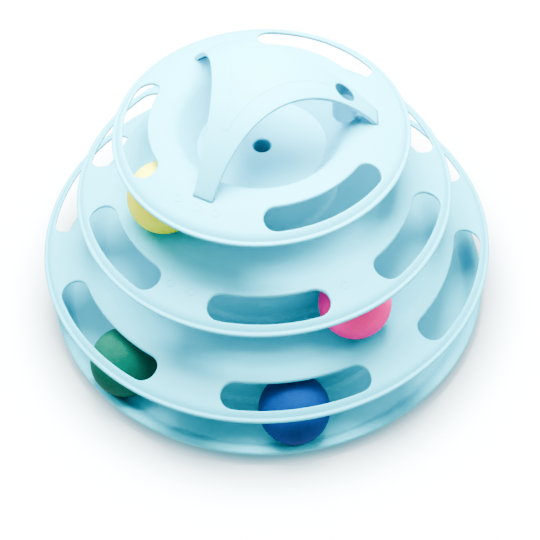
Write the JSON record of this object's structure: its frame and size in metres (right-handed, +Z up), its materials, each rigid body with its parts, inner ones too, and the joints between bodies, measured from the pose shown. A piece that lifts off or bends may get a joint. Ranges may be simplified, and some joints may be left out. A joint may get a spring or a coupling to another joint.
{
  "type": "cat ball track toy",
  "caption": "Tiered round tower of plug-together tracks in which coloured balls roll round, with windows in each tier, a bowl on top and a curved safety bar over it.",
  "frame": {"origin": "middle of the footprint, on the surface that the pads stand on", "axes": "+Z up along the tower's axis, +X to the right of the pictured view, +Y away from the viewer"},
  "size_m": [0.2508, 0.2508, 0.1713],
  "materials": {
    "tower_plastic": "semi-gloss moulded plastic",
    "yellow_ball": "matt with fine speckles",
    "pink_ball": "matt with fine speckles",
    "green_ball": "matt with fine speckles",
    "blue_ball": "matt with fine speckles",
    "pad_rubber": "matt"
  },
  "bodies": {
    "tower": {"base_tray": "tower_plastic", "lower_tier": "tower_plastic", "middle_tier": "tower_plastic", "top_tier": "tower_plastic", "safety_bar": "tower_plastic", "foot_pad_1": "pad_rubber", "foot_pad_2": "pad_rubber", "foot_pad_3": "pad_rubber", "foot_pad_4": "pad_rubber", "foot_pad_5": "pad_rubber", "foot_pad_6": "pad_rubber"},
    "yellow_ball": {"yellow_ball": "yellow_ball"},
    "pink_ball": {"pink_ball": "pink_ball"},
    "green_ball": {"green_ball": "green_ball"},
    "blue_ball": {"blue_ball": "blue_ball"}
  },
  "joints": [
    {"name": "yellow_roll", "type": "hinge", "parent": "tower", "child": "yellow_ball", "pos_m": [0, 0, 0], "axis": [0, 0, 1], "continuous": true},
    {"name": "pink_roll", "type": "hinge", "parent": "tower", "child": "pink_ball", "pos_m": [0, 0, 0], "axis": [0, 0, 1], "continuous": true},
    {"name": "green_roll", "type": "hinge", "parent": "tower", "child": "green_ball", "pos_m": [0, 0, 0], "axis": [0, 0, 1], "range_deg": [-140, 16]},
    {"name": "blue_roll", "type": "hinge", "parent": "tower", "child": "blue_ball", "pos_m": [0, 0, 0], "axis": [0, 0, 1], "range_deg": [-16, 140]}
  ]
}
